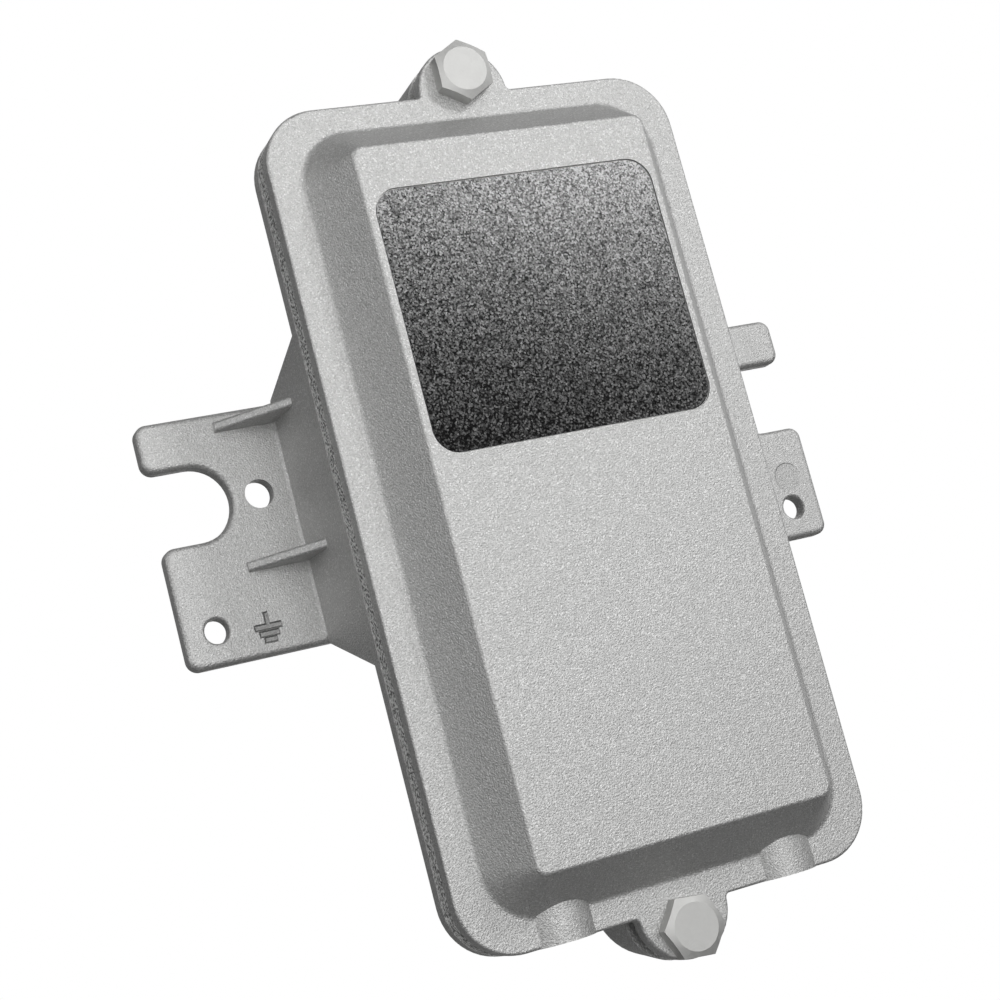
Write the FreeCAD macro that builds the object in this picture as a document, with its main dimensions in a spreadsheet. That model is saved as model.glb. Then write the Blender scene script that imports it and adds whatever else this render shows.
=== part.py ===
import FreeCAD, Part
import math
import os
from types import SimpleNamespace

import Sketcher

# Outdoor ethernet surge protector: a die-cast housing that is bolted to a wall or clamped to a mast.
# +Z is up and the cover faces -Y. The origin lies on the back face, midway between the two lower
# mounting holes. "Front" is the distance in front of that back face, so front = -Y.

SIZES = {
    # Flanges, which drive the rest
    "flange_width": 79.5,
    "flange_height": 148.0,
    "flange_corner": 10.4,
    "rim_width": 7.2,
    "side_rim_width": 7.65,
    "cavity_corner": 7.6,
    "base_flange_thickness": 2.6,
    "cover_flange_thickness": 2.7,
    "gasket_thickness": 3.6,
    "gasket_inset": 0.25,
    # Ears for the cover bolts, measured from the flange's ends
    "bolt_overhang": 3.5,
    "cover_ear_radius": 8.5,
    "cover_ear_overhang": 0.3,
    "cover_ear_fillet": 0.8,
    "base_ear_radius": 11.0,
    "base_ear_setback": 3.3,
    "base_ear_depth": 6.0,
    # Back plate and its wings
    "plate_thickness": 3.0,
    "wing_reach": 26.25,
    "plate_top": 30.1,
    "plate_bottom": 14.6,
    "plate_corner": 2.2,
    "plate_edge_round": 1.1,
    "lower_hole_inset": 6.2,
    "lower_hole_drop": 8.4,
    "upper_hole_gap": 5.85,
    "upper_hole_rise": 14.2,
    "lower_hole_radius": 2.2,
    "lower_hole_mouth": 0.6,
    "upper_hole_radius": 2.65,
    "notch_radius": 6.8,
    "notch_inset": 7.6,
    "notch_rise": 14.3,
    # Pedestal between the plate and the housing, and its gussets
    "pedestal_height": 18.8,
    "pedestal_flare": 0.9,
    "pedestal_rise": 6.8,
    "pedestal_fall": 7.3,
    "pedestal_wall": 2.6,
    "pedestal_foot_bead": 0.5,
    "web_thickness": 2.2,
    "gusset_thickness": 1.8,
    "gusset_edge_round": 0.6,
    "gusset_top_inset": 2.7,
    "gusset_notch_gap": 6.0,
    "gusset_reach": 11.2,
    "gusset_height": 12.4,
    "gusset_toe": 0.9,
    # Tray behind the base flange
    "tray_wall": 2.4,
    "tray_floor": 2.5,
    "tray_depth": 9.7,
    "tray_draft": 0.6,
    # Cover
    "cover_wall": 2.2,
    "cover_roof_inset": 1.3,
    "cover_edge_round": 0.5,
    "panel_height": 10.05,
    "slope_run_side": 6.4,
    "slope_run_top": 6.5,
    "slope_run_bottom": 6.8,
    "panel_corner": 1.6,
    "panel_edge_round": 0.7,
    "foot_corner": 9.9,
    "foot_round": 1.2,
    # Label
    "label_side_inset": 1.5,
    "label_top_inset": 8.1,
    "label_height": 46.5,
    "label_corner": 4.4,
    "label_thickness": 0.25,
    "label_recess": 0.4,
    "label_gap": 0.2,
    # Cable entries and their grommets
    "entry_inset": 10.4,
    "entry_bore_radius": 4.8,
    "entry_outer_radius": 6.75,
    "grommet_hole_radius": 2.8,
    "grommet_lip_radius": 6.0,
    "grommet_lip_length": 1.6,
    "grommet_recess": 0.5,
    "grommet_slit": 0.4,
    # Cover bolts and their retaining rings
    "bolt_radius": 3.0,
    "bolt_head_flats": 10.0,
    "bolt_head_height": 3.0,
    "bolt_length": 12.0,
    "bolt_chamfer": 0.8,
    "bolt_face_inset": 0.9,
    "bolt_face_slope": 0.4,
    "bolt_hole_gap": 0.08,
    "bottom_bolt_angle": 24.0,
    "ring_outer_radius": 3.7,
    "ring_thickness": 1.1,
    # Clearances
    "running_gap": 0.05,
    "seat_gap": 0.15,
    "cut_overshoot": 1.0,
    # Circuit board and its screws
    "board_side_gap": 2.1,
    "board_top_gap": 7.8,
    "wiring_room": 35.8,
    "board_corner": 2.5,
    "board_thickness": 1.6,
    "post_radius": 3.4,
    "board_screw_inset": 4.0,
    "board_screw_top_inset": 5.0,
    "board_screw_jack_gap": 8.1,
    "board_screw_foot_inset": 4.5,
    "board_screw_radius": 1.5,
    "board_screw_head_radius": 2.8,
    "board_screw_head_height": 1.9,
    "board_screw_length": 5.0,
    # Shielded jacks
    "jack_inset": 10.0,
    "jack_setback": 0.6,
    "jack_width": 15.9,
    "jack_height": 13.4,
    "jack_depth": 16.3,
    "shield_wall": 0.4,
    "socket_width": 11.8,
    "socket_height": 6.8,
    "socket_depth": 12.6,
    "latch_width": 6.3,
    "latch_height": 2.2,
    "contact_pitch": 1.02,
    "contact_width": 0.5,
    "contact_thickness": 0.35,
    "contact_length": 9.4,
    "contact_setback": 2.5,
    # Surge parts; each row lies at its share of the board's height
    "row_margin": 4.0,
    "gas_tube_row": 0.5,
    "gas_tube_radius": 4.0,
    "gas_tube_length": 10.0,
    "electrode_width": 1.4,
    "electrode_step": 0.25,
    "resistor_row": 0.65,
    "resistor_radius": 1.6,
    "resistor_length": 8.0,
    "resistor_cap": 1.3,
    "diode_row": 0.78,
    "diode_width": 5.9,
    "diode_length": 6.9,
    "diode_height": 2.3,
    "diode_lead": 0.45,
    # Ground bond
    "ground_boss_radius": 4.5,
    "ground_boss_gap": 9.5,
    "strap_width": 8.0,
    "strap_thickness": 0.8,
    "strap_overhang": 4.4,
    "ground_screw_radius": 2.0,
    "ground_screw_head_radius": 3.7,
    "ground_screw_head_height": 2.4,
    "ground_screw_length": 7.0,
    "washer_radius": 3.9,
    "washer_thickness": 0.6,
}

# Parts that come in rows
GAS_TUBES = 4
DIODES = 4
RESISTORS = 8
CONTACTS = 8

# How close, in mm, an edge must lie to a level or a size to count as lying on it
EDGE_TOLERANCE = 0.01

os.makedirs("parts", exist_ok=True)
doc = FreeCAD.newDocument("EthernetSurgeProtector")
sheet = doc.addObject("Spreadsheet::Sheet", "Sizes")
for row, (name, value) in enumerate(SIZES.items(), 1):
    sheet.set(f"A{row}", name)
    sheet.set(f"B{row}", str(value))
    sheet.setAlias(f"B{row}", name)
doc.recompute()


class Size:
    """A length together with the sheet formula it comes from, so that sums stay bound to the sheet."""

    def __init__(self, value, formula):
        self.value = value
        self.formula = formula

    def joined(self, other, sign, value):
        return Size(value, f"({self.formula} {sign} {other.formula})")

    def __add__(self, other):
        other = as_size(other)
        return self.joined(other, "+", self.value + other.value)

    def __radd__(self, other):
        return as_size(other) + self

    def __sub__(self, other):
        other = as_size(other)
        return self.joined(other, "-", self.value - other.value)

    def __rsub__(self, other):
        return as_size(other) - self

    def __mul__(self, other):
        other = as_size(other)
        return self.joined(other, "*", self.value * other.value)

    def __rmul__(self, other):
        return as_size(other) * self

    def __truediv__(self, other):
        other = as_size(other)
        return self.joined(other, "/", self.value / other.value)

    def __neg__(self):
        return Size(-self.value, f"(0 - {self.formula})")


def as_size(number):
    """Gives a plain number the form of a Size"""
    if isinstance(number, Size):
        return number
    return Size(float(number), f"({float(number)!r})")


size = SimpleNamespace(**{name: Size(value, f"Sizes.{name}") for name, value in SIZES.items()})


def bind(item, prop, length):
    """Ties one property to its formula"""
    item.setExpression(prop, as_size(length).formula)


# Levels in front of the back face, and places that several pieces share

base_rear = size.plate_thickness + size.pedestal_height
joint = base_rear + size.base_flange_thickness
cover_rear = joint + size.gasket_thickness
cover_front = cover_rear + size.cover_flange_thickness
panel_front = cover_front + size.panel_height
entry_axis = joint + size.gasket_thickness / 2
tray_floor_front = joint - size.tray_depth
tray_floor_rear = tray_floor_front - size.tray_floor
board_front = entry_axis - size.jack_height / 2
board_rear = board_front - size.board_thickness
base_ear_rear = joint - size.base_ear_depth

# Half widths, and heights from the housing's middle

flange_half_width = size.flange_width / 2
flange_half_height = size.flange_height / 2
cavity_half_width = flange_half_width - size.side_rim_width
cavity_half_height = flange_half_height - size.rim_width
tray_half_width = cavity_half_width + size.tray_wall
tray_half_height = cavity_half_height + size.tray_wall
foot_half_width = cavity_half_width + size.cover_wall
foot_half_height = cavity_half_height + size.cover_wall
panel_half_width = foot_half_width - size.slope_run_side
panel_top = foot_half_height - size.slope_run_top
panel_bottom = foot_half_height - size.slope_run_bottom
label_half_width = panel_half_width - size.label_side_inset
label_top = panel_top - size.label_top_inset
label_bottom = label_top - size.label_height
bolt_rise = flange_half_height + size.bolt_overhang
cover_ear_rise = flange_half_height + size.cover_ear_overhang
base_ear_rise = flange_half_height - size.base_ear_setback
entry_side = cavity_half_width - size.entry_inset

plate_half_width = flange_half_width + size.wing_reach
pedestal_half_width = flange_half_width + size.pedestal_flare
lower_hole_side = plate_half_width - size.lower_hole_inset
upper_hole_side = pedestal_half_width + size.upper_hole_gap
notch_side = plate_half_width - size.notch_inset
notch_low = size.notch_rise - size.notch_radius
notch_high = size.notch_rise + size.notch_radius
upper_gusset_rise = size.plate_top - size.gusset_top_inset
lower_gusset_rise = notch_low - size.gusset_notch_gap
web_rise = (upper_gusset_rise + lower_gusset_rise) / 2

board_half_width = cavity_half_width - size.board_side_gap
board_top = cavity_half_height - size.board_top_gap
board_bottom = cavity_half_height - size.wiring_room
board_screw_side = board_half_width - size.board_screw_inset
board_screw_upper = board_top - size.board_screw_top_inset
board_screw_lower = board_bottom - size.board_screw_foot_inset
jack_side = board_half_width - size.jack_inset
jack_mouth = board_bottom - size.jack_setback
board_screw_middle = size.jack_depth - jack_mouth + size.board_screw_jack_gap
ground_boss_front = board_front
ground_boss_drop = board_bottom + size.ground_boss_gap


# Sketch helpers. In the XZ plane a sketch's x and y are X and Z; in the XY plane they are X and -front.

def new_sketch(body, name, role, level):
    """Puts an empty sketch on one of the body's own planes, moved along its normal"""
    plane = next(item for item in body.Origin.OriginFeatures if item.Role == role)
    sketch = body.newObject("Sketcher::SketchObject", name)
    sketch.AttachmentSupport = [(plane, "")]
    sketch.MapMode = "FlatFace"
    bind(sketch, "AttachmentOffset.Base.z", level)
    return sketch


def hold(sketch, kind, length, *points):
    """Adds a dimension that follows the sheet"""
    length = as_size(length)
    index = sketch.addConstraint(Sketcher.Constraint(kind, *points, length.value))
    sketch.setExpression(f"Constraints[{index}]", length.formula)


def pin(sketch, geometry, end, x, y):
    """Holds one point at its distances from the sketch's origin"""
    for kind, length, axis in (("DistanceX", x, -2), ("DistanceY", y, -1)):
        if as_size(length).value == 0 and not isinstance(length, Size):
            sketch.addConstraint(Sketcher.Constraint("PointOnObject", geometry, end, axis))
        else:
            hold(sketch, kind, length, -1, 1, geometry, end)


def circle(sketch, x, y, radius):
    centre = FreeCAD.Vector(as_size(x).value, as_size(y).value, 0)
    shape = Part.Circle(centre, FreeCAD.Vector(0, 0, 1), as_size(radius).value)
    index = sketch.addGeometry(shape)
    pin(sketch, index, 3, x, y)
    hold(sketch, "Radius", radius, index)


def rounding(before, corner, after, radius):
    """Works out the arc that rounds a corner: its two ends, its centre and whether it turns left"""
    inward = (before - corner).normalize()
    outward = (after - corner).normalize()
    half_turn = inward.getAngle(outward) / 2
    reach = radius / math.tan(half_turn)
    middle = (inward + outward).normalize()
    centre = corner + middle * (radius / math.sin(half_turn))
    left = (corner - before).cross(after - corner).z > 0
    return corner + inward * reach, corner + outward * reach, centre, left


def outline(sketch, corners):
    """Draws a closed outline through corners (x, y, radius), where a radius of None is a sharp corner"""
    points = [FreeCAD.Vector(as_size(x).value, as_size(y).value, 0) for x, y, _ in corners]
    count = len(corners)
    entries, exits, arcs = [], [], []
    for i, (_, _, radius) in enumerate(corners):
        if radius is None:
            entries.append(points[i])
            exits.append(points[i])
            arcs.append(None)
            continue
        following = points[(i + 1) % count]
        start, end, centre, left = rounding(points[i - 1], points[i], following, as_size(radius).value)
        entries.append(start)
        exits.append(end)
        first, last = (start, end) if left else (end, start)
        angle = math.atan2(first.y - centre.y, first.x - centre.x)
        sweep_end = math.atan2(last.y - centre.y, last.x - centre.x)
        if sweep_end < angle:
            sweep_end += 2 * math.pi
        round_shape = Part.Circle(centre, FreeCAD.Vector(0, 0, 1), as_size(radius).value)
        index = sketch.addGeometry(Part.ArcOfCircle(round_shape, angle, sweep_end))
        arcs.append((index, 1 if left else 2, 2 if left else 1))
    lines = []
    for i in range(count):
        lines.append(sketch.addGeometry(Part.LineSegment(exits[i], entries[(i + 1) % count])))
    for i, (x, y, radius) in enumerate(corners):
        line_in = lines[i - 1]
        line_out = lines[i]
        if arcs[i] is None:
            sketch.addConstraint(Sketcher.Constraint("Coincident", line_in, 2, line_out, 1))
            pin(sketch, line_out, 1, x, y)
            continue
        arc, arc_start, arc_end = arcs[i]
        sketch.addConstraint(Sketcher.Constraint("Tangent", line_in, 2, arc, arc_start))
        sketch.addConstraint(Sketcher.Constraint("Tangent", line_out, 1, arc, arc_end))
        corner = sketch.addGeometry(Part.Point(points[i]), True)
        pin(sketch, corner, 1, x, y)
        sketch.addConstraint(Sketcher.Constraint("PointOnObject", corner, 1, line_in))
        sketch.addConstraint(Sketcher.Constraint("PointOnObject", corner, 1, line_out))
        hold(sketch, "Radius", radius, arc)


def rectangle(sketch, left, right, bottom, top, radius=None):
    outline(sketch, [(left, bottom, radius), (right, bottom, radius), (right, top, radius), (left, top, radius)])


# Feature helpers

def new_body(name):
    body = doc.addObject("PartDesign::Body", name)
    body.Label = name
    return body


def volume(body):
    doc.recompute()
    return body.Tip.Shape.Volume if body.Tip and not body.Tip.Shape.isNull() else 0.0


def made(body, feature, before, grows):
    """Stops if a feature left the solid as it was"""
    after = volume(body)
    if (after - before if grows else before - after) <= 1e-6:
        raise RuntimeError(f"{feature.Name} changes nothing")
    return feature


def pad(body, name, sketch, length, backwards=False):
    before = volume(body)
    feature = body.newObject("PartDesign::Pad", name)
    feature.Profile = sketch
    feature.Reversed = backwards
    bind(feature, "Length", length)
    return made(body, feature, before, True)


def pocket(body, name, sketch, length, forwards=False):
    before = volume(body)
    feature = body.newObject("PartDesign::Pocket", name)
    feature.Profile = sketch
    feature.Reversed = forwards
    bind(feature, "Length", length)
    return made(body, feature, before, False)


def loft(body, name, sketches, additive=True):
    before = volume(body)
    kind = "PartDesign::AdditiveLoft" if additive else "PartDesign::SubtractiveLoft"
    feature = body.newObject(kind, name)
    feature.Profile = sketches[0]
    feature.Sections = sketches[1:]
    feature.Ruled = True
    return made(body, feature, before, additive)


def turn(body, name, sketch, additive=True):
    """Turns a sketch of the XY plane about the body's front-to-back axis"""
    before = volume(body)
    kind = "PartDesign::Revolution" if additive else "PartDesign::Groove"
    feature = body.newObject(kind, name)
    feature.Profile = sketch
    feature.ReferenceAxis = (sketch, ["V_Axis"])
    feature.Angle = 360
    return made(body, feature, before, additive)


def round_edges(body, name, radius, test):
    """Rounds every edge of the solid that passes a test on its points"""
    doc.recompute()
    tip = body.Tip
    names = [f"Edge{i}" for i, edge in enumerate(tip.Shape.Edges, 1) if test(edge)]
    feature = body.newObject("PartDesign::Fillet", name)
    feature.Base = (tip, names)
    bind(feature, "Radius", radius)
    doc.recompute()
    return feature


def place(item, x, front, z):
    """Moves a finished piece; heights count from the housing's middle, which lies above the lower holes"""
    bind(item, "Placement.Base.x", x)
    bind(item, "Placement.Base.y", -as_size(front))
    bind(item, "Placement.Base.z", as_size(z) + size.lower_hole_drop)


nodes = {}


def finish(item, name, x=0, front=0, z=0):
    """Names a finished piece, places it and puts it on the list of pieces"""
    item.Label = name
    place(item, x, front, z)
    nodes[name] = item


def level_edge(edge, front):
    """True for an edge that lies wholly at one level"""
    box = edge.BoundBox
    return abs(box.YMin + front) < EDGE_TOLERANCE and abs(box.YMax + front) < EDGE_TOLERANCE


# Base housing: flange, ears, tray, pedestal and wings in one casting

def build_base():
    body = new_body("base_housing")

    sketch = new_sketch(body, "FlangeOutline", "XZ_Plane", base_rear)
    rectangle(sketch, -flange_half_width, flange_half_width, -flange_half_height, flange_half_height,
              size.flange_corner)
    pad(body, "Flange", sketch, size.base_flange_thickness)

    # Ears for the cover bolts flare towards the back
    for side, sign in (("Top", 1), ("Bottom", -1)):
        front_end = new_sketch(body, f"{side}EarFront", "XZ_Plane", joint)
        circle(front_end, 0, sign * cover_ear_rise, size.cover_ear_radius)
        rear_end = new_sketch(body, f"{side}EarRear", "XZ_Plane", base_ear_rear)
        circle(rear_end, 0, sign * base_ear_rise, size.base_ear_radius)
        loft(body, f"{side}Ear", [front_end, rear_end])

    # Tray wall behind the flange, drafted
    corner = size.cavity_corner + size.tray_wall
    front_end = new_sketch(body, "TrayFront", "XZ_Plane", base_rear)
    rectangle(front_end, -tray_half_width, tray_half_width, -tray_half_height, tray_half_height, corner)
    rear_end = new_sketch(body, "TrayRear", "XZ_Plane", tray_floor_rear)
    wide = tray_half_width - size.tray_draft
    tall = tray_half_height - size.tray_draft
    rectangle(rear_end, -wide, wide, -tall, tall, corner - size.tray_draft)
    loft(body, "Tray", [front_end, rear_end])

    # Pedestal from the flange back to the plate
    front_end = new_sketch(body, "PedestalFront", "XZ_Plane", base_rear)
    rectangle(front_end, -flange_half_width, flange_half_width, -(size.plate_bottom + size.pedestal_fall),
              size.plate_top + size.pedestal_rise)
    rear_end = new_sketch(body, "PedestalRear", "XZ_Plane", size.plate_thickness)
    wide = pedestal_half_width
    rectangle(rear_end, -wide, wide, -size.plate_bottom, size.plate_top)
    loft(body, "Pedestal", [front_end, rear_end])

    # Plate with two wings, each with an open notch for a clamp bolt
    sketch = new_sketch(body, "PlateOutline", "XZ_Plane", 0)
    corner = size.plate_corner
    outline(sketch, [
        (-plate_half_width, -size.plate_bottom, corner), (plate_half_width, -size.plate_bottom, corner),
        (plate_half_width, notch_low, corner), (notch_side, notch_low, None),
        (notch_side, notch_high, None), (plate_half_width, notch_high, corner),
        (plate_half_width, size.plate_top, corner), (-plate_half_width, size.plate_top, corner),
        (-plate_half_width, notch_high, corner), (-notch_side, notch_high, None),
        (-notch_side, notch_low, None), (-plate_half_width, notch_low, corner),
    ])
    pad(body, "Plate", sketch, size.plate_thickness)
    sketch = new_sketch(body, "NotchEnds", "XZ_Plane", size.plate_thickness)
    for sign in (-1, 1):
        circle(sketch, sign * notch_side, size.notch_rise, size.notch_radius)
    pocket(body, "Notches", sketch, size.plate_thickness)

    def at_plate_front(edge):
        return level_edge(edge, size.plate_thickness.value)

    def wing_edge(edge):
        """True for an edge of a wing's front face"""
        reach = max(abs(edge.BoundBox.XMin), abs(edge.BoundBox.XMax))
        return at_plate_front(edge) and reach > wide.value + EDGE_TOLERANCE

    round_edges(body, "PlateEdges", size.plate_edge_round, wing_edge)

    # A bead fills the corner between each wing and the pedestal
    bead = size.pedestal_foot_bead
    level = -size.plate_thickness
    for side, sign in (("Left", -1), ("Right", 1)):
        sketch = new_sketch(body, f"{side}BeadOutline", "XY_Plane", size.plate_edge_round - size.plate_bottom)
        outline(sketch, [
            (sign * (wide - bead), level + bead, None), (sign * (wide + bead), level + bead, None),
            (sign * (wide + bead), level, None), (sign * (wide - bead), level - bead * 2, None),
        ])
        pad(body, f"{side}Bead", sketch, size.plate_top + size.plate_bottom - size.plate_edge_round * 2)

    # Gussets brace the wings against the pedestal
    for part, rise in (("Upper", upper_gusset_rise), ("Lower", lower_gusset_rise)):
        for side, sign in (("Left", -1), ("Right", 1)):
            sketch = new_sketch(body, f"{part}{side}GussetOutline", "XY_Plane", rise - size.gusset_thickness / 2)
            root = flange_half_width - size.pedestal_wall / 2
            toe = pedestal_half_width + size.gusset_reach
            foot = size.plate_thickness / 2
            outline(sketch, [
                (sign * root, -foot, None), (sign * toe, -foot, None),
                (sign * toe, -(size.plate_thickness + size.gusset_toe), None),
                (sign * root, -(size.plate_thickness + size.gusset_height), None),
            ])
            pad(body, f"{part}{side}Gusset", sketch, size.gusset_thickness)

    def gusset_crest(edge):
        """True for an edge along the slope of a gusset"""
        box = edge.BoundBox
        return min(box.XLength, box.YLength) > size.gusset_reach.value / 2 and box.ZLength < EDGE_TOLERANCE

    round_edges(body, "GussetCrests", size.gusset_edge_round, gusset_crest)

    # Tray cavity, and the pedestal's three cored cells behind it
    front_end = new_sketch(body, "CavityFront", "XZ_Plane", joint)
    wide = cavity_half_width
    tall = cavity_half_height
    rectangle(front_end, -wide, wide, -tall, tall, size.cavity_corner)
    rear_end = new_sketch(body, "CavityRear", "XZ_Plane", tray_floor_front)
    wide = cavity_half_width - size.tray_draft
    tall = cavity_half_height - size.tray_draft
    rectangle(rear_end, -wide, wide, -tall, tall, size.cavity_corner - size.tray_draft)
    loft(body, "Cavity", [front_end, rear_end], additive=False)

    half_web = size.web_thickness / 2
    cells = [
        (size.pedestal_wall - size.plate_bottom, lower_gusset_rise - half_web),
        (lower_gusset_rise + half_web, web_rise - half_web),
        (web_rise + half_web, size.plate_top - size.pedestal_wall),
    ]
    wide = pedestal_half_width - size.pedestal_wall
    for number, (low, high) in enumerate(cells, 1):
        sketch = new_sketch(body, f"Cell{number}Outline", "XZ_Plane", 0)
        rectangle(sketch, -wide, wide, low, high, size.plate_corner)
        pocket(body, f"Cell{number}", sketch, tray_floor_rear, forwards=True)

    # Posts for the board and a boss for the ground screw
    sketch = new_sketch(body, "PostOutlines", "XZ_Plane", tray_floor_front - size.tray_floor / 2)
    for x, z in board_screw_places():
        circle(sketch, x, z, size.post_radius)
    pad(body, "Posts", sketch, board_rear - tray_floor_front + size.tray_floor / 2)
    sketch = new_sketch(body, "GroundBossOutline", "XZ_Plane", tray_floor_front - size.tray_floor / 2)
    circle(sketch, 0, -ground_boss_drop, size.ground_boss_radius)
    pad(body, "GroundBoss", sketch, ground_boss_front - tray_floor_front + size.tray_floor / 2)

    # Screw holes
    sketch = new_sketch(body, "PostHoleOutlines", "XZ_Plane", board_rear)
    for x, z in board_screw_places():
        circle(sketch, x, z, size.board_screw_radius + size.running_gap)
    pocket(body, "PostHoles", sketch, size.board_screw_length - size.board_thickness + size.seat_gap)
    sketch = new_sketch(body, "GroundHoleOutline", "XZ_Plane", ground_boss_front)
    circle(sketch, 0, -ground_boss_drop, size.ground_screw_radius + size.running_gap)
    depth = size.ground_screw_length - size.strap_thickness - size.washer_thickness
    pocket(body, "GroundHole", sketch, depth + size.seat_gap)
    sketch = new_sketch(body, "BoltHoleOutlines", "XZ_Plane", joint)
    for sign in (-1, 1):
        circle(sketch, 0, sign * bolt_rise, size.bolt_radius + size.running_gap)
    pocket(body, "BoltHoles", sketch, size.base_ear_depth + size.cut_overshoot)
    sketch = new_sketch(body, "MountingHoleOutlines", "XZ_Plane", size.plate_thickness)
    for sign in (-1, 1):
        circle(sketch, sign * lower_hole_side, -size.lower_hole_drop, size.lower_hole_radius)
        circle(sketch, sign * upper_hole_side, size.upper_hole_rise, size.upper_hole_radius)
    pocket(body, "MountingHoles", sketch, size.plate_thickness + size.cut_overshoot)

    def lower_hole_mouth(edge):
        """True for the front rim of a lower mounting hole"""
        width = edge.BoundBox.XLength / 2
        return at_plate_front(edge) and abs(width - size.lower_hole_radius.value) < EDGE_TOLERANCE

    round_edges(body, "LowerHoleMouths", size.lower_hole_mouth, lower_hole_mouth)

    # Cable entries: half-round saddles on the rear of the flange, with a bore through the rim
    rim = flange_half_height - cavity_half_height
    for side, sign in (("Left", -1), ("Right", 1)):
        sketch = new_sketch(body, f"{side}SaddleOutline", "XY_Plane", -flange_half_height)
        entry_segment(sketch, sign * entry_side, base_rear + size.base_flange_thickness / 2, rear=True)
        pad(body, f"{side}Saddle", sketch, rim - size.tray_wall / 2)
    bore_entries(body, "Base")
    finish(body, "base_housing")


def board_screw_places():
    """The five board screws: two at the top corners, two above the jacks and one at the ground strap"""
    side = board_screw_side
    return [(-side, board_screw_upper), (side, board_screw_upper),
            (-side, board_screw_middle), (side, board_screw_middle), (0, -board_screw_lower)]


def bore_entries(body, part):
    """Cuts both cable entries through the rim, and room behind it for the lips of the grommets"""
    through = flange_half_height - cavity_half_height + size.cut_overshoot
    lip_room = size.grommet_lip_length + size.seat_gap * 2
    for side, sign in (("Left", -1), ("Right", 1)):
        sketch = new_sketch(body, f"{part}{side}EntryOutline", "XY_Plane", -flange_half_height - size.cut_overshoot)
        circle(sketch, sign * entry_side, -entry_axis, size.entry_bore_radius)
        pocket(body, f"{part}{side}Entry", sketch, through + lip_room, forwards=True)
        sketch = new_sketch(body, f"{part}{side}LipOutline", "XY_Plane", -cavity_half_height)
        circle(sketch, sign * entry_side, -entry_axis, size.grommet_lip_radius + size.seat_gap)
        pocket(body, f"{part}{side}LipRoom", sketch, lip_room, forwards=True)


def entry_segment(sketch, x, chord, rear):
    """Draws the part of a cable entry's round outside that lies behind or in front of a chord"""
    radius = size.entry_outer_radius.value
    centre = FreeCAD.Vector(as_size(x).value, -entry_axis.value, 0)
    rise = -chord.value - centre.y
    half = math.sqrt(radius ** 2 - rise ** 2)
    right = FreeCAD.Vector(centre.x + half, centre.y + rise, 0)
    left = FreeCAD.Vector(centre.x - half, centre.y + rise, 0)
    shape = Part.Circle(centre, FreeCAD.Vector(0, 0, 1), radius)
    low = math.atan2(rise, half)
    high = math.atan2(rise, -half)
    if rear:
        arc = sketch.addGeometry(Part.ArcOfCircle(shape, low, high))
    else:
        arc = sketch.addGeometry(Part.ArcOfCircle(shape, high, low + 2 * math.pi))
    line = sketch.addGeometry(Part.LineSegment(right, left))
    first, second = (1, 2) if rear else (2, 1)
    sketch.addConstraint(Sketcher.Constraint("Coincident", line, 1, arc, first))
    sketch.addConstraint(Sketcher.Constraint("Coincident", line, 2, arc, second))
    sketch.addConstraint(Sketcher.Constraint("Horizontal", line))
    pin(sketch, arc, 3, x, -entry_axis)
    hold(sketch, "Radius", size.entry_outer_radius, arc)
    hold(sketch, "DistanceY", -chord, -1, 1, line, 1)


# Cover: flange with ears and a raised, sloping-sided panel, cast hollow

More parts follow.
